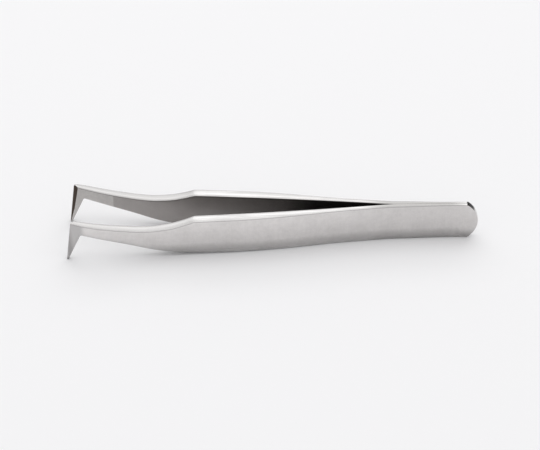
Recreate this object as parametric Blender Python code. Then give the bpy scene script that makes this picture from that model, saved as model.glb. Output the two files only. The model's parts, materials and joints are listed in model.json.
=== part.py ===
"""Stamp tongs: two sprung steel arms, spot welded at the heel, with bent beak tips.

The tongs stand on their long lower edges. Metres, +Z up. +X points to the heel and
-X to the tips, the front arm is at -Y and the back arm at +Y. The origin is the
middle of the footprint, on the surface that the tongs stand on.

Along an arm, s is the distance from the heel end, so x = LENGTH / 2 - s. Each arm is
one blank that bends at its flex. It is made here as a heel and a blade that meet at
the flex with a small gap, so that the blade can turn there as the real arm springs.
"""

import math

import bmesh
import bpy
from mathutils import Vector

# ------------------------------------------------------------- driving dimensions
LENGTH = 0.118  # heel end to the front of the beak
ARM_WIDTH = 0.0116  # height of an arm as it stands on its edge, heel to shoulder

# Places along the arm
WELDED_LENGTH = 0.024  # from the heel end, where the arms lie face to face
FLEX_SETBACK = 0.013  # from the end of the weld to the middle of the bend
BLADE_LENGTH = 0.0365  # from the shoulder corner to the front
NECK_SETBACK = 0.024  # from the lowest point of the blade's top edge to the front
SWEEP_SETBACK = 0.018  # from the steepest point of the lower edge to the front
FACET_LENGTH = 0.0128  # flat ground inside of the tip
BEAK_ROOT_WIDTH = 0.0045  # beak at its root, along the arm
BEAK_LEAN = 0.0013  # how far the beak's front edge leans forward on its way down
FLAT_LENGTH = 0.054  # from the heel end, lower edge lying on the surface

# Heights of the outline
NECK_TOP = 0.0091
BEAK_TOP = 0.01275
SHOULDER_LIFT = 0.0006  # lower edge under the shoulder
SWEEP_START_HEIGHT = 0.002  # lower edge halfway from the shoulder to the steepest point
SWEEP_HEIGHT = 0.0049  # lower edge at the steepest point of the sweep
BEAK_ROOT_HEIGHT = 0.0088  # lower edge where the beak turns down
TIP_WIDTH = 0.0009  # beak just above its point

# Thickness of one arm
HEEL_THICKNESS = 0.00093
ROOT_THICKNESS = 0.00145  # at the end of the weld
FLEX_THICKNESS = 0.00157
MIDDLE_THICKNESS = 0.00286
GRIP_THICKNESS = 0.0032
SHOULDER_THICKNESS = 0.00315
FACET_THICKNESS = 0.0027  # where the ground facet starts
BEAK_THICKNESS = 0.0022  # at the beak's root
FRONT_THICKNESS = 0.00155  # at the top corner of the beak
TIP_THICKNESS = 0.00115

# Space between the arms
SPLAY_BLEND = 0.0024  # from the end of the weld, where the arms begin to part
FLEX_HALF_GAP = 0.00128
TIP_HALF_GAP = 0.00835  # at the very front
CLOSED_SHOULDER_GAP = 0.00045  # left between the shoulders when the tips meet
CLOSED_TIP_GAP = 0.00008

# Edges and rounds
HEEL_END_RISE = 0.003  # how far the round heel end stands out past its corners
OUTER_BEVEL = 0.00025
INNER_BEVEL = 0.0001
BEAK_FILLET = 0.0010  # leg of the fillet inside the beak's corner
BEAK_CORNER = 0.0005  # leg of the round on the beak's top corner

# Spot welds, evenly spread over the welded length
WELD_COUNT = 2
WELD_RADIUS = 0.0015
WELD_DEPTH = 0.0004  # into each arm

# Clearances
SEAM_GAP = 0.00005  # between the two heels
WELD_CLEARANCE = 0.00005
FLEX_GAP = 0.0003  # between an arm's heel and its blade

# Sections of the lofts
SECTION_STEP = 0.004
HEEL_END_SECTIONS = 7
HEEL_END_START = math.radians(6)  # turn of the first section in the round end
BEAK_TOP_SECTIONS = 3
BEAK_CORNER_SECTIONS = 3
BEAK_FILLET_SECTIONS = 5
BEAK_FRONT_SECTIONS = 6

STEEL_COLOR = (0.62, 0.61, 0.60)

# --------------------------------------------------------------- places that follow
FLEX = WELDED_LENGTH + FLEX_SETBACK
SHOULDER = LENGTH - BLADE_LENGTH
NECK = LENGTH - NECK_SETBACK
SWEEP = LENGTH - SWEEP_SETBACK
FACET = LENGTH - FACET_LENGTH
BEAK_ROOT = LENGTH - BEAK_ROOT_WIDTH
BEAK_FRONT = LENGTH - BEAK_LEAN
MIDDLE = (FLEX + SHOULDER) / 2
GRIP = (MIDDLE + SHOULDER) / 2
FLEX_AXIS_Y = FLEX_HALF_GAP + FLEX_THICKNESS / 2


def smooth(knots):
    """A function through the knots (position, value) that never overshoots them.

    Each piece is a cubic. A knot's slope is the weighted harmonic mean of the slopes
    on its two sides, or zero where they differ in sign (Fritsch and Carlson).
    """
    steps = [b[0] - a[0] for a, b in zip(knots, knots[1:])]
    rises = [(b[1] - a[1]) / (b[0] - a[0]) for a, b in zip(knots, knots[1:])]
    slopes = [rises[0]]
    for h0, h1, d0, d1 in zip(steps, steps[1:], rises, rises[1:]):
        w0, w1 = 2 * h1 + h0, h1 + 2 * h0
        slopes.append((w0 + w1) / (w0 / d0 + w1 / d1) if d0 * d1 > 0 else 0.0)
    slopes.append(rises[-1])

    def value(s):
        i = 0
        while i < len(steps) - 1 and s > knots[i + 1][0]:
            i += 1
        h = steps[i]
        t = (s - knots[i][0]) / h
        return ((1 + 2 * t) * (1 - t) ** 2 * knots[i][1] + t * (1 - t) ** 2 * h * slopes[i]
                + t * t * (3 - 2 * t) * knots[i + 1][1] - t * t * (1 - t) * h * slopes[i + 1])

    return value


thickness = smooth([
    (0.0, HEEL_THICKNESS),
    (WELDED_LENGTH / 3, HEEL_THICKNESS),
    (WELDED_LENGTH, ROOT_THICKNESS),
    (FLEX, FLEX_THICKNESS),
    (MIDDLE, MIDDLE_THICKNESS),
    (GRIP, GRIP_THICKNESS),
    (SHOULDER, SHOULDER_THICKNESS),
    (FACET, FACET_THICKNESS),
    (BEAK_ROOT, BEAK_THICKNESS),
    (BEAK_FRONT, FRONT_THICKNESS),
    (LENGTH, TIP_THICKNESS),
])
blade_top = smooth([
    (SHOULDER, ARM_WIDTH),
    ((SHOULDER + NECK) / 2, NECK_TOP + (ARM_WIDTH - NECK_TOP) / 4),
    (NECK, NECK_TOP),
    ((NECK + BEAK_FRONT) / 2, NECK_TOP + (BEAK_TOP - NECK_TOP) / 3),
    (BEAK_FRONT, BEAK_TOP),
])
lower_edge = smooth([
    (FLAT_LENGTH, 0.0),
    (SHOULDER, SHOULDER_LIFT),
    ((SHOULDER + SWEEP) / 2, SWEEP_START_HEIGHT),
    (SWEEP, SWEEP_HEIGHT),
    (BEAK_ROOT, BEAK_ROOT_HEIGHT),
])


def top_edge_height(s):
    return ARM_WIDTH if s <= SHOULDER else blade_top(s)


def lower_edge_height(s):
    return 0.0 if s <= FLAT_LENGTH else lower_edge(s)


def closing_angle():
    """Angle that lays the tip's flat inside parallel to the middle plane, with half of
    CLOSED_TIP_GAP to it: FLEX_AXIS_Y - a sin(angle) + b cos(angle) = that half."""
    a = LENGTH - FLEX
    b = TIP_HALF_GAP - FLEX_AXIS_Y
    return math.acos((CLOSED_TIP_GAP / 2 - FLEX_AXIS_Y) / math.hypot(a, b)) - math.atan2(a, b)


CLOSING_ANGLE = closing_angle()
FACET_SLOPE = math.tan(CLOSING_ANGLE)
FACET_HALF_GAP = TIP_HALF_GAP - FACET_LENGTH * FACET_SLOPE
SHOULDER_HALF_GAP = (FLEX_AXIS_Y + (SHOULDER - FLEX) * FACET_SLOPE
                     + (CLOSED_SHOULDER_GAP / 2 - FLEX_AXIS_Y) / math.cos(CLOSING_ANGLE))


def parting(u):
    """Distance u past the weld, less what the soft start takes off."""
    return u * u / (2 * SPLAY_BLEND) if u < SPLAY_BLEND else u - SPLAY_BLEND / 2


def bowed_half_gap(s):
    """A soft start, then a parabola through the half gaps at the flex and shoulder:
    slope * parting(u) - sag * (u / reach)^2, on top of the seam."""
    reach = SHOULDER - WELDED_LENGTH
    share = (FLEX_SETBACK / reach) ** 2
    at_flex = FLEX_HALF_GAP - SEAM_GAP / 2
    at_shoulder = SHOULDER_HALF_GAP - SEAM_GAP / 2
    slope = (at_flex - share * at_shoulder) / (parting(FLEX_SETBACK) - share * parting(reach))
    sag = slope * parting(reach) - at_shoulder
    u = max(s - WELDED_LENGTH, 0.0)
    return SEAM_GAP / 2 + slope * parting(u) - sag * (u / reach) ** 2


def half_gap(s):
    """Distance of the inner face from the middle plane."""
    if s <= SHOULDER:
        return bowed_half_gap(s)
    if s <= FACET:
        share = (s - SHOULDER) / (FACET - SHOULDER)
        return SHOULDER_HALF_GAP + share * (FACET_HALF_GAP - SHOULDER_HALF_GAP)
    return FACET_HALF_GAP + (s - FACET) * FACET_SLOPE


# ------------------------------------------------------------------------ outlines
def line(a, b, count):
    """Points from a up to, and without, b."""
    return [a.lerp(b, i / count) for i in range(count)]


def round_corner(a, corner, b, count):
    """Points of a parabola from a up to, and without, b, tangent to both legs."""
    return [a.lerp(corner, i / count).lerp(corner.lerp(b, i / count), i / count)
            for i in range(count)]


def heel_end_sections():
    """Ends (top, bottom) of the upright sections in the round end of the heel."""
    radius = (ARM_WIDTH ** 2 / 4 + HEEL_END_RISE ** 2) / (2 * HEEL_END_RISE)
    last = math.asin(ARM_WIDTH / 2 / radius)
    ends = []
    for i in range(HEEL_END_SECTIONS):
        turn = HEEL_END_START + (last - HEEL_END_START) * i / HEEL_END_SECTIONS
        s = radius * (math.cos(HEEL_END_START) - math.cos(turn))
        half = radius * math.sin(turn)
        ends.append((Vector((s, ARM_WIDTH / 2 + half)), Vector((s, ARM_WIDTH / 2 - half))))
    return ends


def straight_sections(*places):
    """Upright sections between the places, at most SECTION_STEP apart."""
    stops = []
    for a, b in zip(places, places[1:]):
        count = math.ceil((b - a) / SECTION_STEP)
        stops += [a + (b - a) * i / count for i in range(count)]
    stops.append(places[-1])
    return [(Vector((s, top_edge_height(s))), Vector((s, lower_edge_height(s)))) for s in stops]


def beak_sections():
    """Sections that fan round from the arm's top edge to the point of the beak."""
    start = BEAK_ROOT - BEAK_FILLET
    corner = Vector((BEAK_FRONT, BEAK_TOP))
    root = Vector((BEAK_ROOT, BEAK_ROOT_HEIGHT))
    point_front = Vector((LENGTH, TIP_WIDTH / 2))
    point_back = Vector((LENGTH - TIP_WIDTH, TIP_WIDTH / 3))
    top_start = Vector((start, top_edge_height(start)))
    bottom_start = Vector((start, lower_edge_height(start)))

    before = corner + (top_start - corner).normalized() * BEAK_CORNER
    after = corner + (point_front - corner).normalized() * BEAK_CORNER
    below = root + (point_back - root).normalized() * BEAK_FILLET
    tops = line(top_start, before, BEAK_TOP_SECTIONS)
    tops += round_corner(before, corner, after, BEAK_CORNER_SECTIONS)
    tops += line(after, point_front, BEAK_FRONT_SECTIONS)
    bottoms = round_corner(bottom_start, root, below, BEAK_FILLET_SECTIONS)
    bottoms += line(below, point_back, len(tops) - BEAK_FILLET_SECTIONS)
    tops += [point_front, Vector((LENGTH - TIP_WIDTH / 4, 0.0))]
    bottoms += [point_back, Vector((LENGTH - TIP_WIDTH * 3 / 4, 0.0))]
    return list(zip(tops, bottoms))


# ------------------------------------------------------------------------- solids
def section_ring(top, bottom, side):
    """The section's eight corners: inner and outer face, with bevelled edges."""
    across = bottom - top
    wall = min(thickness(top.x), thickness(bottom.x))
    outer = min(OUTER_BEVEL, across.length / 4, wall / 4)
    inner = min(INNER_BEVEL, across.length / 4, wall / 4)
    across = across.normalized()

    def place(end, inset, from_inner=None, from_outer=None):
        point = end + across * inset
        y = half_gap(point.x)
        if from_inner is not None:
            y += from_inner
        else:
            y += thickness(point.x) - from_outer
        return Vector((LENGTH / 2 - point.x, side * y, point.y))

    return [
        place(top, 0, from_inner=inner),
        place(top, inner, from_inner=0),
        place(bottom, -inner, from_inner=0),
        place(bottom, 0, from_inner=inner),
        place(bottom, 0, from_outer=outer),
        place(bottom, -outer, from_outer=0),
        place(top, outer, from_outer=0),
        place(top, 0, from_outer=outer),
    ]


def loft(name, sections, side, origin, parent, collection, material):
    """A closed solid through the sections, as an object whose origin is at origin."""
    mesh = bmesh.new()
    rings = []
    for top, bottom in sections:
        corners = section_ring(top, bottom, side)
        rings.append([mesh.verts.new(corner - origin) for corner in corners])
    for ring, following in zip(rings, rings[1:]):
        for i, corner in enumerate(ring):
            j = (i + 1) % len(ring)
            mesh.faces.new((corner, ring[j], following[j], following[i]))
    mesh.faces.new(rings[0])
    mesh.faces.new(rings[-1])
    bmesh.ops.recalc_face_normals(mesh, faces=mesh.faces)
    data = bpy.data.meshes.new(name)
    mesh.to_mesh(data)
    mesh.free()
    data.shade_smooth()
    data.set_sharp_from_angle(angle=math.radians(30))
    data.materials.append(material)
    solid = bpy.data.objects.new(name, data)
    solid.location = origin
    solid.parent = parent
    collection.objects.link(solid)
    return solid


def weld_cylinder(name, index, radius, depth, collection, parent):
    """A cylinder across the seam at one weld."""
    x = LENGTH / 2 - WELDED_LENGTH * (index + 1) / (WELD_COUNT + 1)
    bpy.ops.mesh.primitive_cylinder_add(
        vertices=32, radius=radius, depth=depth,
        location=(x, 0, ARM_WIDTH / 2), rotation=(math.pi / 2, 0, 0))
    cylinder = bpy.context.object
    cylinder.name = name
    for holder in list(cylinder.users_collection):
        holder.objects.unlink(cylinder)
    collection.objects.link(cylinder)
    cylinder.parent = parent
    return cylinder


def make_welds(heels, parent, parts, cutters, material):
    """Weld nuggets in the seam, and the pockets that they fill in both heels."""
    for index in range(WELD_COUNT):
        depth = SEAM_GAP + 2 * WELD_DEPTH
        nugget = weld_cylinder(f"weld_nugget_{index + 1}", index, WELD_RADIUS, depth, parts, parent)
        nugget.data.materials.append(material)
        pocket = weld_cylinder(f"weld_pocket_{index + 1}", index, WELD_RADIUS + WELD_CLEARANCE,
                               depth + 2 * WELD_CLEARANCE, cutters, parent)
        pocket.hide_render = True
        pocket.display_type = "WIRE"
        for heel in heels:
            cut = heel.modifiers.new(pocket.name, "BOOLEAN")
            cut.operation = "DIFFERENCE"
            cut.object = pocket


def steel(name, roughness):
    material = bpy.data.materials.new(name)
    material.use_nodes = True
    shader = material.node_tree.nodes["Principled BSDF"]
    shader.inputs["Base Color"].default_value = (*STEEL_COLOR, 1)
    shader.inputs["Metallic"].default_value = 1.0
    shader.inputs["Roughness"].default_value = roughness
    return material


def build():
    for old in list(bpy.data.objects):
        bpy.data.objects.remove(old)
    parts = bpy.data.collections.new("stamp_tongs")
    cutters = bpy.data.collections.new("cutters")
    for collection in (parts, cutters):
        bpy.context.scene.collection.children.link(collection)
    root = bpy.data.objects.new("stamp_tongs", None)
    parts.objects.link(root)

    satin = steel("satin_steel", 0.35)
    weld = steel("weld_steel", 0.5)
    heel_sections = heel_end_sections() + straight_sections(
        HEEL_END_RISE, WELDED_LENGTH, WELDED_LENGTH + SPLAY_BLEND, FLEX - FLEX_GAP / 2)
    blade_sections = straight_sections(
        FLEX + FLEX_GAP / 2, FLAT_LENGTH, SHOULDER, NECK, FACET, BEAK_ROOT - BEAK_FILLET)
    blade_sections = blade_sections[:-1] + beak_sections()

    heels = []
    for arm, side in (("front_arm", -1), ("back_arm", 1)):
        flex = Vector((LENGTH / 2 - FLEX, side * FLEX_AXIS_Y, ARM_WIDTH / 2))
        heels.append(loft(f"{arm}_heel", heel_sections, side, Vector(), root, parts, satin))
        loft(f"{arm}_blade", blade_sections, side, flex, root, parts, satin)
    make_welds(heels, root, parts, cutters, weld)


build()
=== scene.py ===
# %% [markdown]
# # Stamp tongs: the looks
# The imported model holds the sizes, the joints and the plain solids. This file makes what
# the eye sees: two arms of satin stainless steel with polished edges and a ground tip,
# on a pale floor under a large soft light. Metres, +Z up, tips at -X, heel at +X.

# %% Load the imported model
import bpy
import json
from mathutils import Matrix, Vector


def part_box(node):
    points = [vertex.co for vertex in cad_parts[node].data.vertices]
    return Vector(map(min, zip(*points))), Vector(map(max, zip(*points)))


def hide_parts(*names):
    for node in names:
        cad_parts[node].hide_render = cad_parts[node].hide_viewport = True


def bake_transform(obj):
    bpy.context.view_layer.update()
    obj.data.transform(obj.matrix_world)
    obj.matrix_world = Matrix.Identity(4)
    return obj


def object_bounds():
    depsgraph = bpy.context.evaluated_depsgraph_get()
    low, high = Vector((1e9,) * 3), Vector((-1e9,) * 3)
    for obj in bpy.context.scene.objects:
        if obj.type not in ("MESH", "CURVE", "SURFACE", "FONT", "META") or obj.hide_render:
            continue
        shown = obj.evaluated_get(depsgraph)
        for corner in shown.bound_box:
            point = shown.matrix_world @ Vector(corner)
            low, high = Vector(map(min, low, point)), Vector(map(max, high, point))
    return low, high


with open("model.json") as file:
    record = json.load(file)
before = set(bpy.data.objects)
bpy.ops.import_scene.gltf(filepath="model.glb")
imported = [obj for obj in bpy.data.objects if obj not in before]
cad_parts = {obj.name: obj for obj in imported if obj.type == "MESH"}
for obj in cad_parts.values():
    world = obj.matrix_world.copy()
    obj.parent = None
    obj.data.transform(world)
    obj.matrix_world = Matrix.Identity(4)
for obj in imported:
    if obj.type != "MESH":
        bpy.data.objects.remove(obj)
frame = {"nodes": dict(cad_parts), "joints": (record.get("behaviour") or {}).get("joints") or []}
cad_box = [list(corner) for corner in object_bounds()]

import json
import math

import bpy
import numpy as np
from mathutils import Vector

MM = 0.001
print("cad box", cad_box)

# %% [markdown]
# ## Reading the arms off the solids
# Real tongs of this kind are two blanks stamped from strip, bent, and spot-welded at the
# heel. The solids of an arm are made of upright rings of eight corners, a few millimetres
# apart. Each ring says how high and how thick the arm is there. Reading them keeps the
# fine surface on the size of the design: nothing has to be typed in twice. The back arm
# mirrors the front one, so one arm is read and made, and its sign decides the side.
# Below, s is the distance from the heel end and z the height above the table.

# %% The size of an arm
HEEL_END = cad_box[1][0]
LENGTH = HEEL_END - cad_box[0][0]
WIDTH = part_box("back_arm_heel")[1][2]
print("length", LENGTH, "width", WIDTH)

# %% Sections of the solids
SAME = 1e-6
BEAK_ZONE = 5 * MM
LEAST_REACH = 0.9 * MM


def distinct_corners(node):
    """Every corner of a solid once, rounded to a micrometre."""
    mesh = frame["nodes"][node].data
    places = np.empty(len(mesh.vertices) * 3)
    mesh.vertices.foreach_get("co", places)
    return np.unique(np.round(places.reshape(-1, 3), 6), axis=0)


def read_sections(nodes):
    """Distance from the heel end, top, low, inner and outer limit of each ring, and how
    many of its eight corners are there (flat faces drop some of them). Rings of the beak
    lie aslant and aren't sections, nor are rings that don't reach the outside."""
    corners = np.concatenate([distinct_corners(node) for node in nodes])
    rows = []
    for x in np.unique(corners[:, 0])[::-1]:
        ring = corners[corners[:, 0] == x]
        across, height = np.abs(ring[:, 1]), ring[:, 2]
        s = HEEL_END - x
        if len(ring) >= 4 and across.max() > LEAST_REACH and s < LENGTH - BEAK_ZONE:
            rows.append((s, height.max(), height.min(), across.min(), across.max(), len(ring)))
    return np.array(rows).T


# %% The sections of one arm
places, tops, lows, inners, outers, corners_kept = read_sections(["back_arm_heel", "back_arm_blade"])
whole = corners_kept >= 8
full_width = places[np.abs(tops - WIDTH) < SAME]
ROUND_END = full_width.min()
SHOULDER = full_width.max()
LAST_RING = places.max()
print(len(places), "sections,", int(whole.sum()), "of them whole")
print("round end", ROUND_END, "shoulder", SHOULDER, "last ring", LAST_RING)

# %% [markdown]
# ## Smooth lines through the sections
# A cubic through the rings gives a line with no flats. Its slope at a ring is a weighted
# harmonic mean of the slopes beside it, so it never swings past its points. The sharp
# shoulder is kept by making the line in two stretches that end there.


# %% A curve that doesn't overshoot
def smooth(x, y):
    """Monotone cubic (Fritsch and Carlson) through x, y, straight beyond its ends."""
    step = np.diff(x)
    rise = np.diff(y) / step
    near, far = 2 * step[1:] + step[:-1], step[1:] + 2 * step[:-1]
    same = rise[:-1] * rise[1:] > 0
    safe0, safe1 = np.where(same, rise[:-1], 1), np.where(same, rise[1:], 1)
    middle = np.where(same, (near + far) / (near / safe0 + far / safe1), 0)
    slope = np.concatenate([rise[:1], middle, rise[-1:]])

    def curve(at):
        """Hermite blend of the two points and slopes around each place."""
        at = np.asarray(at, float)
        i = np.clip(np.searchsorted(x, at) - 1, 0, len(step) - 1)
        t = np.clip((at - x[i]) / step[i], 0, 1)
        inside = ((1 + 2 * t) * (1 - t) ** 2 * y[i] + t * (1 - t) ** 2 * step[i] * slope[i]
                  + t * t * (3 - 2 * t) * y[i + 1] - t * t * (1 - t) * step[i] * slope[i + 1])
        return inside + np.minimum(at - x[0], 0) * slope[0] + np.maximum(at - x[-1], 0) * slope[-1]

    return curve


# %% The four lines of an arm
past_shoulder = places >= SHOULDER - SAME
past_round = places >= ROUND_END
top_line = smooth(places[past_shoulder], tops[past_shoulder])
low_line = smooth(places[past_round], lows[past_round])
inner_line = smooth(places[whole], inners[whole])
outer_line = smooth(places, outers)
for at in (0.02, 0.06, 0.1):
    print("at", at, "low", float(low_line(at)), "in", float(inner_line(at)), "out", float(outer_line(at)))

# %% [markdown]
# ## The beak
# Past the last upright ring the arm turns down into a beak, ground to a narrow point that
# lifts a stamp without bending it. Its front edge leans a little forward on the way down,
# its back edge runs in to the point, and its outside is thinned towards the point, while
# the inside stays one flat face that meets the other arm's. A few lengths describe it.

# %% Beak lengths
BEAK_ROOT = 4.3 * MM
BEAK_TOP = cad_box[1][2] + 0.1 * MM
BEAK_LEAN = 1.55 * MM
BEAK_ROOT_HEIGHT = 8.68 * MM
POINT_WIDTH = 0.55 * MM
FRONT_THICKNESS = 1.55 * MM
POINT_THICKNESS = 1.15 * MM
ROOT_FILLET = 0.5 * MM
TOP_ROUND = 0.7 * MM

ring_places = np.array([LAST_RING - 2 * MM, LAST_RING])
ring_walls = outer_line(ring_places) - inner_line(ring_places)
beak_wall = smooth(np.append(ring_places, [LENGTH - BEAK_LEAN, LENGTH]),
                   np.append(ring_walls, [FRONT_THICKNESS, POINT_THICKNESS]))


def outer_at(s):
    """Distance of the outer face: read off the rings, then thinned along the beak."""
    return np.where(s < LAST_RING, outer_line(s), inner_line(s) + beak_wall(s))


print("wall at the last ring", float(beak_wall(LAST_RING)), "at the point", float(beak_wall(LENGTH)))


# %% [markdown]
# ## Two edges that run side by side
# The side view of an arm is drawn as two lines of equally many points, the upper edge and
# the lower edge. Both start in the middle of the round heel end and finish at the point
# of the beak. Joining them point by point gives rungs that stand upright along the arm
# and fan round in the beak, so one grid covers the whole arm with no seam.


# %% Drawing tools
def straight(a, b, count):
    """count points from a up to, and without, b."""
    share = np.arange(count)[:, None] / count
    return np.array(a) * (1 - share) + np.array(b) * share


def rounded(a, corner, b, count):
    """A parabola from a to b, tangent to the legs a-corner and corner-b."""
    t = np.arange(count)[:, None] / count
    return np.array(a) * (1 - t) ** 2 + np.array(corner) * 2 * t * (1 - t) + np.array(b) * t * t


def toward(a, b, distance):
    """The point at that distance from a on the way to b."""
    a, b = np.array(a), np.array(b)
    return a + (b - a) * distance / np.linalg.norm(b - a)


# %% The heel end and the long part
END_RUNGS, GRIP_RUNGS, NECK_RUNGS = 30, 150, 90
FIRST_TURN = math.radians(1)
BEAK_START = LENGTH - BEAK_ROOT - ROOT_FILLET
LOW_SAG = 0.24 * MM
ROOT_SAG = 0.6


def heel_end():
    """The round end: an arc through its middle and the two corners, halved at the middle.
    An arc of height h and chord w has the radius (w * w / 4 + h * h) / (2 * h)."""
    radius = (WIDTH ** 2 / 4 + ROUND_END ** 2) / (2 * ROUND_END)
    turn = np.linspace(FIRST_TURN, math.asin(WIDTH / 2 / radius), END_RUNGS)[:-1]
    along, rise = radius * (1 - np.cos(turn)), radius * np.sin(turn)
    return np.stack([along, WIDTH / 2 + rise], 1), np.stack([along, WIDTH / 2 - rise], 1)


def long_part():
    """Grip and neck up to the beak. The lower line sags a little along the taper, by a
    squared sine, because the stamped edge is one soft curve there. ROOT_SAG of the sag
    is left where the beak starts."""
    grip = np.linspace(ROUND_END, SHOULDER, GRIP_RUNGS)[:-1]
    neck = np.linspace(SHOULDER, BEAK_START, NECK_RUNGS)[:-1]
    along = np.concatenate([grip, neck])
    top = np.where(along < SHOULDER, WIDTH, top_line(along))
    share_at_root = 1 - math.asin(math.sqrt(ROOT_SAG)) / math.pi
    share = np.clip((along - SHOULDER) / (BEAK_START - SHOULDER), 0, 1) * share_at_root
    low = np.maximum(low_line(along) - LOW_SAG * np.sin(np.pi * share) ** 2, 0)
    return np.stack([along, top], 1), np.stack([along, low], 1)


# %% The beak
TOP_RUNGS, CORNER_RUNGS, FRONT_RUNGS, POINT_RUNGS = 14, 8, 46, 5
ROOT_RUNGS = 18
BACK_RUNGS = TOP_RUNGS + CORNER_RUNGS + FRONT_RUNGS - ROOT_RUNGS


def beak():
    """Upper side: on to the corner, round it, down the front and round the point. Lower
    side: round the root and down the back. Each has as many points as the other."""
    top_start = (BEAK_START, float(top_line(BEAK_START)))
    low_start = (BEAK_START, float(low_line(BEAK_START)) - ROOT_SAG * LOW_SAG)
    corner = (LENGTH - BEAK_LEAN, BEAK_TOP)
    root = (LENGTH - BEAK_ROOT, BEAK_ROOT_HEIGHT)
    front = (LENGTH, POINT_WIDTH / 2)
    back = (LENGTH - POINT_WIDTH, POINT_WIDTH / 3)
    tip_front, tip_back = (LENGTH - POINT_WIDTH / 4, 0), (LENGTH - POINT_WIDTH * 3 / 4, 0)
    before, after = toward(corner, top_start, TOP_ROUND), toward(corner, front, TOP_ROUND)
    below = toward(root, back, ROOT_FILLET)
    under_front, under_back = (LENGTH, 0), (LENGTH - 0.85 * POINT_WIDTH, 0)
    up = [straight(top_start, before, TOP_RUNGS), rounded(before, corner, after, CORNER_RUNGS),
          straight(after, front, FRONT_RUNGS), rounded(front, under_front, tip_front, POINT_RUNGS),
          [tip_front]]
    down = [rounded(low_start, root, below, ROOT_RUNGS), straight(below, back, BACK_RUNGS),
            rounded(back, under_back, tip_back, POINT_RUNGS), [tip_back]]
    return np.concatenate(up), np.concatenate(down)


# %% The whole outline
parts = [heel_end(), long_part(), beak()]
upper = np.concatenate([part[0] for part in parts])
lower = np.concatenate([part[1] for part in parts])
print("rungs", len(upper), len(lower), "of them in the beak", len(parts[2][0]))

# %% [markdown]
# ## Around a rung
# A rung is wrapped in a closed loop: up the inner face, round its edge, across the edge
# face, round the outer edge and down the outer face, and the same again below. The rows
# next to an edge are set in from it. On the round heel end they go square to the edge;
# past the shoulder they follow the rungs, which never cross, so no row can fold over
# another at the sharp corner of the beak.

# %% Sizes of the edges
OUTER_ROUND = 0.28 * MM
LOW_ROUND = 0.35 * MM
LOW_ROUND_HEIGHT = 3.9 * MM
INNER_ROUND = 0.10 * MM
BEVEL_WIDTH = 1.22 * MM
BEVEL_DEPTH = 1.2 * MM


# %% The way in from an edge
FOLLOW_OVER = 5 * MM
LEAST_FACING = 0.35


def inward(edge, sign):
    """Unit normals of an edge line that point into the arm: its tangent turned by 90."""
    tangent = np.gradient(edge, axis=0)
    normal = np.stack([tangent[:, 1], -tangent[:, 0]], 1) * sign
    return normal / np.linalg.norm(normal, axis=1)[:, None]


def way_in(edge, other, sign):
    """The way in from each edge point: square to the edge at the heel, along the rung
    past the shoulder, scaled so that a step of 1 gains 1 square to the edge. Also how
    many such steps the whole rung is long."""
    normal = inward(edge, sign)
    rung = other - edge
    length = np.linalg.norm(rung, axis=1)[:, None]
    follow = np.clip((edge[:, :1] - SHOULDER) / FOLLOW_OVER, 0, 1)
    way = normal * (1 - follow) + rung / length * follow
    way = way / np.linalg.norm(way, axis=1)[:, None]
    facing = np.clip((way * normal).sum(1), LEAST_FACING, 1)[:, None]
    return way / facing, (length * facing)[:, 0]


way_up, steps_up = way_in(upper, lower, 1)
way_low, steps_low = way_in(lower, upper, -1)
print("steps across a rung", steps_up.min(), "to", steps_up.max())

# %% [markdown]
# ## The bevel inside the beak
# The inner front edge of each beak is ground off as one flat plane, so that the closed
# tips slide under a stamp. Its crease runs at an even distance from the front edge and
# right up through the top edge. Along every rung the place of the crease is solved from
# the distances of the two rung ends, which keeps the plane flat on any grid.


# %% A plane cut
POINT_SHARE_OF_WIDTH = 0.42
POINT_SHARE_OF_DEPTH = 0.4
WIDEST_AT_POINT, WIDEST_AT_TOP = 0.38, 0.63
MASK_STEEPNESS = 6


def share_at(low, height):
    """From the low share where height is 0 to the whole where it is 1."""
    return low + (1 - low) * height


def front_distance(points):
    """How far points (s, z) lie behind the straight front edge of the beak."""
    corner, point = np.array([LENGTH - BEAK_LEAN, BEAK_TOP]), np.array([LENGTH, POINT_WIDTH / 2])
    down = (point - corner) / np.linalg.norm(point - corner)
    return (points - corner) @ np.array([down[1], -down[0]])


def bevel_cut(steps):
    """Width and depth of the inner bevel at each upper edge point, and where it is. The
    plane is depth * (1 - distance / width) behind the front edge, and narrower towards
    the point; elsewhere there is only the small broken edge."""
    near, far = front_distance(upper), front_distance(lower)
    height = np.clip(upper[:, 1] / BEAK_TOP, 0, 1)
    width = BEVEL_WIDTH * share_at(POINT_SHARE_OF_WIDTH, height)
    widest = WIDEST_AT_POINT + (WIDEST_AT_TOP - WIDEST_AT_POINT) * height
    share = np.clip((width - near) / np.maximum(far - near, SAME), 0, widest)
    left = np.clip(1 - near / width, 0, 1)
    depth = INNER_ROUND + BEVEL_DEPTH * share_at(POINT_SHARE_OF_DEPTH, height) * left
    return np.maximum(share * steps, INNER_ROUND), depth, np.clip(left * MASK_STEEPNESS, 0, 1)


bevel, bevel_depth, bevelled = bevel_cut(steps_up)
print("rungs in the bevel", int((bevelled > 0).sum()), "deepest", bevel_depth.max())

# %% [markdown]
# ## Rounding the other edges
# The outer edges are tumbled round. The lower outer edge of the grip is drawn in much
# further up than it is deep, the soft roll that stamping leaves on the die side, so its
# round is a tall quarter ellipse. All rounds shrink where the beak gets thin: each may
# take only one of so many parts of the wall, or of the rung, it sits on.

# %% Room for the rounds
ROLL_REACH, ROLL_FADE = 14 * MM, 10 * MM
END_MARGIN, END_FADE = 0.2 * MM, 2.5 * MM
HEEL_ZONE = 1.5 * ROUND_END
WALL_PARTS, RUNG_PARTS = 3, 3.5

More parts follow.
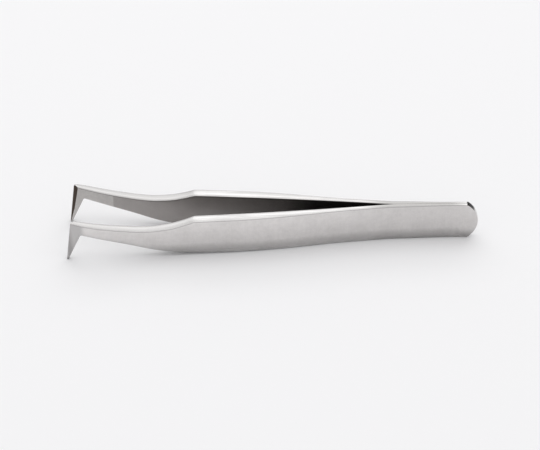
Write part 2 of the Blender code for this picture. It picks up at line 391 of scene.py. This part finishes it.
wall = np.minimum(outer_at(upper[:, 0]) - inner_line(upper[:, 0]),
                  outer_at(lower[:, 0]) - inner_line(lower[:, 0]))
at_heel = upper[:, 0] < HEEL_ZONE
on_rung = np.minimum(steps_up, steps_low) / RUNG_PARTS
room = np.where(at_heel, wall / WALL_PARTS, np.minimum(on_rung, wall / WALL_PARTS))
grip = np.clip((SHOULDER + ROLL_REACH - lower[:, 0]) / ROLL_FADE, 0, 1)
past_end = np.clip((lower[:, 0] - ROUND_END - END_MARGIN) / END_FADE, 0, 1)
in_front = np.clip(1 - front_distance(upper) / TOP_ROUND, 0, 1)
print("least room", room.min(), "rungs on the heel end", int(at_heel.sum()))

# %% Round sizes along the arm
BEVEL_RUNG_PARTS, BEVEL_WALL_PARTS, ROLL_RUNG_PARTS = 1.6, 1.4, 2.9
ROLL_LEFT_ON_NECK = 0.3

bevel = np.where(at_heel, bevel, np.minimum(bevel, steps_up / BEVEL_RUNG_PARTS))
bevel_depth = np.minimum(bevel_depth, wall / BEVEL_WALL_PARTS)
broken = np.minimum(np.full_like(wall, INNER_ROUND), room)
top_round = np.minimum(OUTER_ROUND, room)
low_round = np.minimum(OUTER_ROUND + (LOW_ROUND - OUTER_ROUND) * past_end, room)
roll = past_end * share_at(ROLL_LEFT_ON_NECK, grip)
low_height = OUTER_ROUND + (LOW_ROUND_HEIGHT - OUTER_ROUND) * roll
low_height = np.where(at_heel, low_height, np.minimum(low_height, steps_low / ROLL_RUNG_PARTS))
print("lower round", low_round.max(), "deep and", low_height.max(), "high")

# %% [markdown]
# ## The rows of a loop
# Half a loop goes from the middle of the inner face over an edge to the middle of the
# outer face. Every row has a place in the side view, the face it is measured from, its
# distance from that face, and five masks for the finish and the painted dark lines. Flat
# faces get a row close to each round, so that smooth shading stays flat up to it.

# %% Masks and rows
MASKS = ("inner_face", "edge_face", "outer_rim", "front_bevel", "inner_rim")
FACE_SHARES = (0.04, 0.3, 0.6, 0.85, 0.975)
BEVEL_SHARES = (0.0, 0.06, 0.94, 1.0)
EDGE_ROWS = ((0.04, 0, 0.8), (0.3, 0, 0), (0.6, 0.35, 0), (0.96, 1, 0))
ROUND_ROWS = 9
END_BOW = 0.26 * MM


def masks(**values):
    """The five masks of a row, all 0 but those named."""
    return [float(values.get(name, 0)) for name in MASKS]


print("rows in a loop", 2 * (2 * len(FACE_SHARES) + len(BEVEL_SHARES) + len(EDGE_ROWS) + ROUND_ROWS))


# %% Half a loop
def half_loop(edge, way, middles, insets, outer, inner):
    """Rows (place, face, distance, masks). insets are the first rows on the inner and on
    the outer face; outer and inner are (depth, height) of the round and of the bevel.
    The round is a quarter ellipse: inset h (1 - cos a), distance r (1 - sin a)."""
    rows = []
    for share in FACE_SHARES:
        place = middles[0] + (insets[0] - middles[0]) * share
        rows.append((place, "inner", 0.0, masks(inner_face=1, inner_rim=share == FACE_SHARES[-1])))
    for share in BEVEL_SHARES:
        place = edge + way * (inner[1] * (1 - share))[:, None]
        marks = masks(inner_face=1 - share, edge_face=share, inner_rim=share in BEVEL_SHARES[:2],
                      front_bevel=share in BEVEL_SHARES[1:-1])
        rows.append((place, "inner", inner[0] * share, marks))
    for share, rim, line in EDGE_ROWS:
        rows.append((edge, "between", share, masks(edge_face=1, outer_rim=rim, inner_rim=line)))
    for angle in np.radians(np.linspace(0, 90, ROUND_ROWS)):
        place = edge + way * (outer[1] * (1 - math.cos(angle)))[:, None]
        rim = min(1, math.sin(2 * angle) + max(0, math.cos(2 * angle)))
        marks = masks(edge_face=math.cos(angle) ** 3, outer_rim=rim)
        rows.append((place, "outer", outer[0] * (1 - math.sin(angle)), marks))
    for share in FACE_SHARES[::-1]:
        rows.append((middles[1] + (insets[1] - middles[1]) * share, "outer", 0.0, masks()))
    return rows


# %% From rows to points
RIM_LOST_IN_FRONT = 0.7
RIM_LEFT_ON_NECK = 0.1


def placed(rows, inner_drop, outer_drop, fades, side):
    """The points of a half loop with their masks. x and z come from the place, y from the
    faces there: a distance from the inner or from the outer face, or a share of the way
    between them, less the drop of the bevel and of the round. fades scale the masks."""
    points = []
    for place, face, distance, marks in rows:
        s = place[:, 0]
        inner, outer = inner_line(s), outer_at(s)
        low, high = inner + inner_drop, outer - outer_drop
        across = low + (high - low) * distance
        y = {"inner": inner + distance, "outer": outer - distance, "between": across}
        faded = [mark * fade for mark, fade in zip(marks, fades)]
        points.append(np.stack([HEEL_END - s, side * y[face], place[:, 1], *faded], 1))
    return np.stack(points, 1)


def bowed(middle):
    """Middle points (s, z) drawn a little into the arm where s is near 0, at the heel
    end: s becomes the root of its square plus a small square. A rung is then bent there
    instead of straight, and the cap that closes the end keeps some area."""
    return np.hypot(middle, (END_BOW, 0))


def arm_surface(side):
    """The closed grid of one arm, rung by rung. The rows of both halves meet on the line
    midway between their first rows, on the inner face and on the outer."""
    up_in, up_out = upper + way_up * bevel[:, None], upper + way_up * top_round[:, None]
    low_in, low_out = lower + way_low * broken[:, None], lower + way_low * low_height[:, None]
    middles = bowed((up_in + low_in) / 2), bowed((up_out + low_out) / 2)
    top = half_loop(upper, way_up, middles, (up_in, up_out), (top_round, top_round), (bevel_depth, bevel))
    low = half_loop(lower, way_low, middles, (low_in, low_out), (low_round, low_height), (broken, broken))
    one, none = np.ones_like(wall), np.zeros_like(wall)
    top_fades = one, one, past_end * (1 - RIM_LOST_IN_FRONT * in_front), bevelled, past_end * (1 - bevelled)
    low_fades = one, one, past_end * share_at(RIM_LEFT_ON_NECK, grip), none, none
    upper_half = placed(top, bevel_depth, top_round, top_fades, side)
    lower_half = placed(low, broken, low_round, low_fades, side)
    return np.concatenate([upper_half, lower_half[:, ::-1]], 1)


# %% [markdown]
# ## Into a mesh
# The loops become one grid of quads. A ladder of quads closes each end: up and down
# across the thin strip in the middle of the heel end, and from the inner to the outer
# face across the flat end of the point.


# %% Faces of the grid
def ladder(around, first, total):
    """Quads that close a loop: point j pairs with point total - j."""
    j = first + np.arange(around // 2 - 1)
    return np.stack([j, total - j, total - 1 - j, j + 1], -1) % around


def grid_faces(rungs, around):
    """Quads between neighbouring loops, and a ladder of quads at each end."""
    i, j = np.meshgrid(np.arange(rungs - 1), np.arange(around), indexing="ij")
    a, b = i * around + j, i * around + (j + 1) % around
    sides = np.stack([a, b, b + around, a + around], -1).reshape(-1, 4)
    heel = ladder(around, 0, around - 1)
    point = ladder(around, -(around // 4), around // 2)
    return np.concatenate([sides, heel, point[:, ::-1] + (rungs - 1) * around])


def make_arm(name, side):
    """One arm as a smooth mesh object, with its masks in point attributes. The grid looks
    outward on the back arm; on the front one, its mirror image, the faces are turned."""
    loop = arm_surface(side)
    faces = grid_faces(*loop.shape[:2])
    faces = faces[:, ::-1] if side < 0 else faces
    mesh = bpy.data.meshes.new(name)
    mesh.from_pydata(loop[..., :3].reshape(-1, 3).tolist(), [], faces.tolist())
    mesh.shade_smooth()
    for k, key in enumerate(MASKS, 3):
        attribute = mesh.attributes.new(key, "FLOAT", "POINT")
        attribute.data.foreach_set("value", np.ascontiguousarray(loop[..., k].reshape(-1), np.float32))
    arm = bpy.data.objects.new(name, mesh)
    bpy.context.scene.collection.objects.link(arm)
    print(name, len(mesh.vertices), "points", len(mesh.polygons), "faces")
    return arm


arms = {"front_arm": make_arm("front_arm", -1), "back_arm": make_arm("back_arm", 1)}

# %% [markdown]
# ## In place of the two solids
# An arm is one springy strip: its heel end is welded fast and its blade bends. The two
# solids of an arm are hidden and replaced by the one smooth piece, which is fixed where it
# lies; the springy stretch around the flex joint is only worked out and printed.

# %% Blend the bend
SPRING = 13 * MM
for name, arm in arms.items():
    flex = next(joint for joint in frame["joints"] if joint["child"] == name)["pos_m"]
    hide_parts(f"{name}_heel", f"{name}_blade")
    flex[0] + SPRING
    flex[0] - SPRING
    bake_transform(arm)
    print(name, "bends between x", flex[0] + SPRING, "and", flex[0] - SPRING)

# %% [markdown]
# ## Shader arithmetic
# A small class wraps a socket, so that a formula on values adds its own Math nodes; the
# graph class adds any other node from its kind, its settings and its sockets.


# %% A value in a shader
class Value:
    """A socket in a shader. Arithmetic on it adds Math nodes."""

    def __init__(self, graph, socket):
        self.graph, self.socket = graph, socket

    def math(self, operation, *others):
        """A Math node with this value first."""
        sockets = dict(enumerate(others, 1)) | {0: self}
        return self.graph.value("ShaderNodeMath", sockets, operation=operation)

    def __add__(self, other):
        return self.math("ADD", other)

    def __sub__(self, other):
        return self.math("SUBTRACT", other)

    def __rsub__(self, other):
        return self.math("MULTIPLY", -1.0) + other

    def __mul__(self, other):
        return self.math("MULTIPLY", other)

    __radd__ = __add__
    __rmul__ = __mul__


# %% A graph of nodes
COLOUR_A, COLOUR_B, COLOUR_RESULT = 6, 7, 2


class Graph:
    """Adds nodes to a material: settings first, then values or links on the sockets."""

    def __init__(self, name):
        self.material = bpy.data.materials.new(name)
        self.material.use_nodes = True
        self.tree = self.material.node_tree
        self.shader = self.tree.nodes["Principled BSDF"]

    def put(self, socket, value):
        """Links a value to a socket, or sets a constant on it."""
        if isinstance(value, Value):
            self.tree.links.new(value.socket, socket)
        else:
            socket.default_value = value

    def value(self, kind, sockets=None, output=0, **settings):
        """Any node: its kind, its sockets, the output that is used, its settings."""
        node = self.tree.nodes.new(kind)
        for key, setting in settings.items():
            setattr(node, key, setting)
        for key, value in (sockets or {}).items():
            self.put(node.inputs[key], value)
        return Value(self, node.outputs[output])

    def noise(self, where, scale, detail, stretch=(1, 1, 1)):
        """Soft noise of about `scale` bumps per metre, drawn out where stretch is small."""
        stretched = self.value("ShaderNodeMapping", {"Vector": where, "Scale": stretch})
        sockets = {"Vector": stretched, "Scale": scale, "Detail": detail, "Roughness": 0.55}
        return self.value("ShaderNodeTexNoise", sockets, "Fac")

    def mask(self, name):
        """One of the masks carried by the points of a mesh."""
        return self.value("ShaderNodeAttribute", output="Fac", attribute_name=name)

    def between(self, value, low, high):
        """0 below low, 1 above high, a smooth step between."""
        return self.value("ShaderNodeMapRange", {0: value, 1: low, 2: high}, interpolation_type="SMOOTHSTEP")

    def mix(self, factor, first, second):
        """From the first colour at factor 0 to the second at factor 1."""
        colours = [c if isinstance(c, Value) else (*c, 1) for c in (first, second)]
        sockets = {"Factor": factor, COLOUR_A: colours[0], COLOUR_B: colours[1]}
        return self.value("ShaderNodeMix", sockets, COLOUR_RESULT, data_type="RGBA")


# %% [markdown]
# ## Satin steel: places and patterns
# The arms are one kind of stainless steel, finished in different ways. Object coordinates
# say where on the arm a point is; noise gives the clouds of tumbling, the grit of the
# satin finish, the fine upright scratches of the faces and the long ones of the edges.

# %% Places and patterns
steel = Graph("satin_steel")
where = steel.value("ShaderNodeTexCoord", output="Object")
x = steel.value("ShaderNodeSeparateXYZ", {0: where}, "X")
z = steel.value("ShaderNodeSeparateXYZ", {0: where}, "Z")
inner, edge = steel.mask("inner_face"), steel.mask("edge_face")
rim, bevel_mask, inner_rim = steel.mask("outer_rim"), steel.mask("front_bevel"), steel.mask("inner_rim")
cloud, mottle = steel.noise(where, 220, 3), steel.noise(where, 850, 2)
speck, grit = steel.noise(where, 2600, 2), steel.noise(where, 3600, 2)
scratches = steel.noise(where, 900, 2, (3, 1, 0.12))
streaks = steel.noise(where, 1500, 3, (0.06, 1, 0.3))
tone = steel.between(cloud * 0.34 + mottle * 0.3 + scratches * 0.1 + grit * 0.26, 0.28, 0.72)
print("nodes for places and patterns", len(steel.tree.nodes))

# %% [markdown]
# ## Satin steel: the outer faces
# The outer faces are even satin, darkened by painted shade towards the lower edge, and a
# little duller over the weld, which has been hot. The beak is ground by hand and darker than
# the satin, with painted shading: darker in its middle, brighter along its edges, and painted
# shade at the very point. Painted shade darkens the lowest corner of the heel as well.

# %% Outer faces
LOW_SATIN_PAINTED_SHADE = (0.585, 0.567, 0.558), (0.69, 0.670, 0.661)
HIGH_SATIN = (0.70, 0.679, 0.669), (0.81, 0.787, 0.777)
CORNER_PAINTED_SHADE = (0.31, 0.301, 0.297)

# Painted shade: the outer faces darken towards the floor, fully below 2.5 mm.
high = steel.between(z, 2.5 * MM, 13 * MM)
hot = steel.between(x, 18 * MM, 38 * MM)
satin = steel.mix(high * (1 - hot * 0.7), steel.mix(tone, *LOW_SATIN_PAINTED_SHADE), steel.mix(tone, *HIGH_SATIN))
# Painted shade on the lowest corner of the heel, next to the floor.
low_corner = steel.between(x, 52 * MM, 55 * MM) * steel.between(z * -1, -4.2 * MM, 0.3 * MM)
satin = steel.mix(low_corner, satin, CORNER_PAINTED_SHADE)
print("nodes with the satin", len(steel.tree.nodes))

# %% Outside of the beak
BEAK_EDGE, BEAK_CORE = (0.52, 0.509, 0.505), (0.365, 0.355, 0.354)
POINT_PAINTED_SHADE = (0.25, 0.243, 0.24)

# Painted shading on the ground beak: brighter along its edges, darker in its middle.
behind_front = x + z * (BEAK_LEAN / BEAK_TOP) + (LENGTH - HEEL_END)
past_front = steel.between(behind_front, 0.1 * MM, 1.3 * MM)
before_back = steel.between(behind_front * -1, -3.4 * MM, -1.6 * MM)
beak_painted_shading = steel.mix(past_front * before_back, BEAK_EDGE, BEAK_CORE)
on_beak = steel.between(x * -1, 53.0 * MM, 55.0 * MM) * (1 - inner)
satin = steel.mix(on_beak, satin, beak_painted_shading)
# Painted shade on the very point, next to the floor.
at_point = steel.between(z * -1, -1.3 * MM, -0.2 * MM) * on_beak
satin = steel.mix(at_point, satin, POINT_PAINTED_SHADE)
print("nodes with the outer faces", len(steel.tree.nodes))

# %% [markdown]
# ## Satin steel: the inner faces
# Inside, the steel keeps more of its mill surface, greyer and speckled, and painted shade
# darkens it from the neck towards the grip and nearly to black at the split, where the arms
# stand close. The last stretch before the beak is ground flat and bright again: that is the
# face which holds the stamp.

# %% Inner faces
NECK_MILL, GRIP_INSIDE_PAINTED_SHADE = (0.43, 0.407, 0.396), (0.12, 0.111, 0.106)
MILL_CLOUD, MILL_SPECK = (0.28, 0.265, 0.259), (0.38, 0.36, 0.351)
SPLIT_PAINTED_SHADE = (0.02, 0.018, 0.017)
GROUND_FACE = (0.45, 0.435, 0.423), (0.58, 0.560, 0.546)
WELDED_FACE = (0.62, 0.60, 0.59)

# Painted shade: the inside darkens from the neck towards the grip.
mill_and_painted_shade = steel.mix(steel.between(x, -20 * MM, 15 * MM), NECK_MILL, GRIP_INSIDE_PAINTED_SHADE)
mill_and_painted_shade = steel.mix(tone * 0.5, mill_and_painted_shade, MILL_CLOUD)
mill_and_painted_shade = steel.mix(speck, mill_and_painted_shade, MILL_SPECK)
# Painted shade, nearly black, at the split where the arms stand close.
at_split = steel.between(x, 2 * MM, 13 * MM)
mill_and_painted_shade = steel.mix(at_split * 0.62, mill_and_painted_shade, SPLIT_PAINTED_SHADE)
on_ground = steel.between(x * -1, 46.0 * MM, 46.3 * MM)
inside = steel.mix(on_ground, mill_and_painted_shade, steel.mix(tone, *GROUND_FACE))
past_split = steel.between(x, 33 * MM, 36 * MM)
inside = steel.mix(past_split, inside, WELDED_FACE)
colour = steel.mix(inner, satin, inside)
print("nodes with the inner faces", len(steel.tree.nodes))

# %% [markdown]
# ## Satin steel: edges and marks
# The edges are polished lengthwise and take the light in long streaks; over the weld they
# stay duller. A thin dark line follows each side of an edge: painted dark reflection along
# the outer rounds and painted shade under the upper edge on the inside. The bevel in the
# beak is coloured dark, and a black spot sits on the upper corner of the heel.

# %% Polished edges
POLISH = (0.58, 0.571, 0.565), (0.78, 0.770, 0.764)
NECK_POLISH, WELD_POLISH = (0.46, 0.453, 0.448), (0.44, 0.433, 0.424)

polished = steel.mix(steel.between(streaks, 0.3, 0.7), *POLISH)
on_neck = steel.between(x * -1, 21 * MM, 24 * MM)
polished = steel.mix(on_neck * streaks, polished, NECK_POLISH)
on_weld = steel.between(x, 24 * MM, 33 * MM) * steel.between(x * -1, -57 * MM, -50 * MM)
colour = steel.mix(edge, colour, steel.mix(on_weld, polished, WELD_POLISH))
print("nodes with the edges", len(steel.tree.nodes))

# %% Border lines and marks
OUTER_LINE_PAINTED_REFLECTION, INNER_LINE_PAINTED_SHADE = (0.30, 0.293, 0.29), (0.10, 0.094, 0.09)
BEVEL_DARK, HEEL_SPOT_BLACK = (0.06, 0.045, 0.035), (0.012, 0.011, 0.010)

# Painted dark reflection in a thin line along the outer rounds of the edges.
colour = steel.mix(rim * 0.45, colour, OUTER_LINE_PAINTED_REFLECTION)
open_part = steel.between(x * -1, -30 * MM, -18 * MM)
# Painted shade in a thin line under the upper edge of the inner face, on the open part.
colour = steel.mix(inner_rim * open_part * 0.5, colour, INNER_LINE_PAINTED_SHADE)
# The bevel in the beak is coloured dark.
colour = steel.mix(bevel_mask, colour, BEVEL_DARK)
# A black spot with a ragged edge on the upper corner of the heel, off the edge faces.
at_end = steel.between(x, 55.5 * MM, 55.8 * MM)
at_top = steel.between(z + cloud * MM, 9.7 * MM, 10.9 * MM)
off_faces = steel.between(edge + rim, 0.0, 0.25)
colour = steel.mix(off_faces * (at_end * at_top), colour, HEEL_SPOT_BLACK)
print("nodes with the marks", len(steel.tree.nodes))

# %% [markdown]
# ## Satin steel: roughness and relief
# Satin faces scatter more than polished edges, and the clouds change that a little. The
# scratches and specks are a relief of hundredths of a millimetre.

# %% Roughness and relief
roughness = 0.28 + 0.10 * cloud - edge * 0.12 + inner * 0.06 + bevel_mask * 0.2
height = (scratches * 0.6 + speck * 0.4) * (1 - edge)
relief = steel.value("ShaderNodeBump", {"Height": height, "Strength": 0.25, "Distance": 0.02 * MM}, "Normal")
steel.put(steel.shader.inputs["Base Color"], colour)
steel.put(steel.shader.inputs["Roughness"], roughness)
steel.put(steel.shader.inputs["Normal"], relief)
steel.shader.inputs["Metallic"].default_value = 1.0
for arm in arms.values():
    arm.data.materials.append(steel.material)
print("satin steel on", sorted(arms), "with", len(steel.tree.nodes), "nodes")

# %% [markdown]
# ## The welds
# Two spot welds hold the heels together. A nugget is cast steel: coarser than the strip,
# dull, and tinted by heat from straw to blue in patches.

# %% Weld steel
STRAW, BLUE, GRAIN = (0.50, 0.45, 0.37), (0.40, 0.42, 0.47), (0.28, 0.27, 0.26)

weld = Graph("weld_steel")
where = weld.value("ShaderNodeTexCoord", output="Object")
grain, patch = weld.noise(where, 3000, 3), weld.noise(where, 700, 2)
tint = weld.mix(weld.between(patch, 0.35, 0.65), STRAW, BLUE)
weld.put(weld.shader.inputs["Base Color"], weld.mix(grain * 0.4, tint, GRAIN))
weld.put(weld.shader.inputs["Roughness"], 0.35 + 0.3 * grain)
weld.shader.inputs["Metallic"].default_value = 1.0
for node in ("weld_nugget_1", "weld_nugget_2"):
    frame["nodes"][node].data.materials.clear()
    frame["nodes"][node].data.materials.append(weld.material)
print("weld steel with", len(weld.tree.nodes), "nodes")

# %% [markdown]
# ## Floor
# A plain pale sheet, a hair below the tongs so that the two don't share a plane.

# %% Floor
FLOOR_SIZE, FLOOR_GAP = 4, 0.05 * MM
PALE = (0.9, 0.9, 0.91, 1)

bpy.ops.mesh.primitive_plane_add(size=FLOOR_SIZE, location=(0, 0, -FLOOR_GAP))
floor = bpy.context.object
floor.name = "floor"
pale = Graph("pale_floor")
pale.shader.inputs["Base Color"].default_value = PALE
pale.shader.inputs["Roughness"].default_value = 0.7
floor.data.materials.append(pale.material)
print("floor at z", floor.location[2])

# %% [markdown]
# ## Light
# Satin metal shows its surroundings, so nearly all of them are light: an even grey-white
# room, a large softbox above that lights the faces and the floor, and a strip at the back
# that the polished upper edges mirror as a bright line.


# %% Softboxes
def softbox(name, place, width, height, watts):
    """A rectangular light that faces the tongs."""
    light = bpy.data.lights.new(name, "AREA")
    light.shape = "RECTANGLE"
    light.size, light.size_y, light.energy = width, height, watts
    box = bpy.data.objects.new(name, light)
    box.location = place
    box.rotation_euler = (-Vector(place)).to_track_quat("-Z", "Y").to_euler()
    bpy.context.scene.collection.objects.link(box)
    print(name, watts, "W at", place)


softbox("top_softbox", (0.0, 0.25, 1.25), width=1.9, height=1.4, watts=6.7)
softbox("back_strip", (0.0, 1.25, 0.92), width=2.4, height=0.5, watts=3.1)

# %% Room
ROOM_GREY = (0.695, 0.692, 0.693, 1)

world = bpy.data.worlds.new("studio")
bpy.context.scene.world = world
world.use_nodes = True
room_light = world.node_tree.nodes["Background"].inputs
room_light["Color"].default_value = ROOM_GREY
room_light["Strength"].default_value = 1.0
print("room light", tuple(room_light["Color"].default_value))

# %% [markdown]
# ## Camera
# The tongs lie flat and are seen from the front, from a good way above, through a long
# lens that keeps the two arms nearly parallel.

# %% Camera
ELEVATION = math.radians(37)
AZIMUTH = math.radians(-0.83)
DISTANCE = 0.62
LENS, SENSOR = 143.35, 36

aim = Vector((-0.87 * MM, 0, 4.43 * MM))
level = math.cos(ELEVATION)
back = Vector((math.sin(AZIMUTH) * level, -math.cos(AZIMUTH) * level, math.sin(ELEVATION)))
camera_data = bpy.data.cameras.new("camera")
camera_data.lens = LENS
camera_data.sensor_width = SENSOR
camera = bpy.data.objects.new("camera", camera_data)
camera.location = aim + back * DISTANCE
camera.rotation_euler = back.to_track_quat("Z", "Y").to_euler()
bpy.context.scene.collection.objects.link(camera)
bpy.context.scene.camera = camera
bpy.context.scene.view_settings.view_transform = "Standard"
print("camera at", tuple(camera.location))

# %% Sizes, and the end
print("cad box", cad_box)
